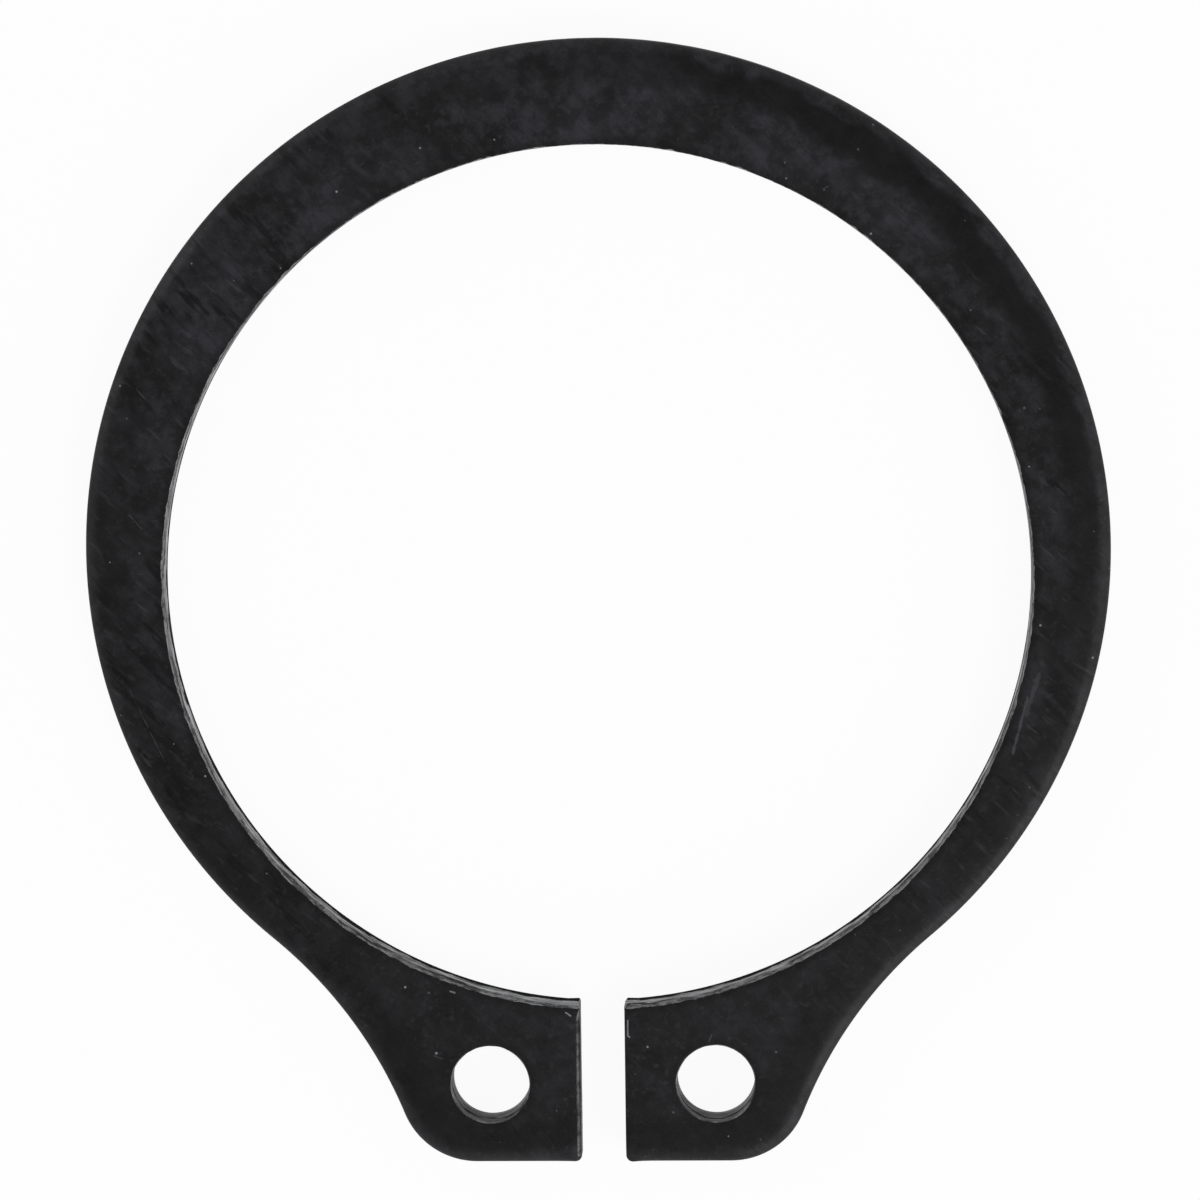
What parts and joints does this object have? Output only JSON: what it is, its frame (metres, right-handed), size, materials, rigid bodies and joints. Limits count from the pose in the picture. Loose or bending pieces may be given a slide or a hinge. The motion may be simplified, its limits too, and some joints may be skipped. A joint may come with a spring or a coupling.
{
  "type": "external retaining ring",
  "caption": "Flat open spring-steel ring that snaps into a groove round a shaft, with an eared end and a plier hole on each side of its gap.",
  "frame": {"origin": "on the axis of the bore, halfway through the strip's thickness", "axes": "+Z along the bore, out of the face whose outer rim is rounded; +Y away from the gap, along the ring's line of symmetry; +X across the ears"},
  "size_m": [0.0274, 0.0303, 0.0012],
  "materials": {
    "blackened_spring_steel": "stamped spring steel, black phosphated and oiled, dull to satin"
  },
  "bodies": {
    "root": {"retaining_ring": "blackened_spring_steel"}
  },
  "joints": []
}
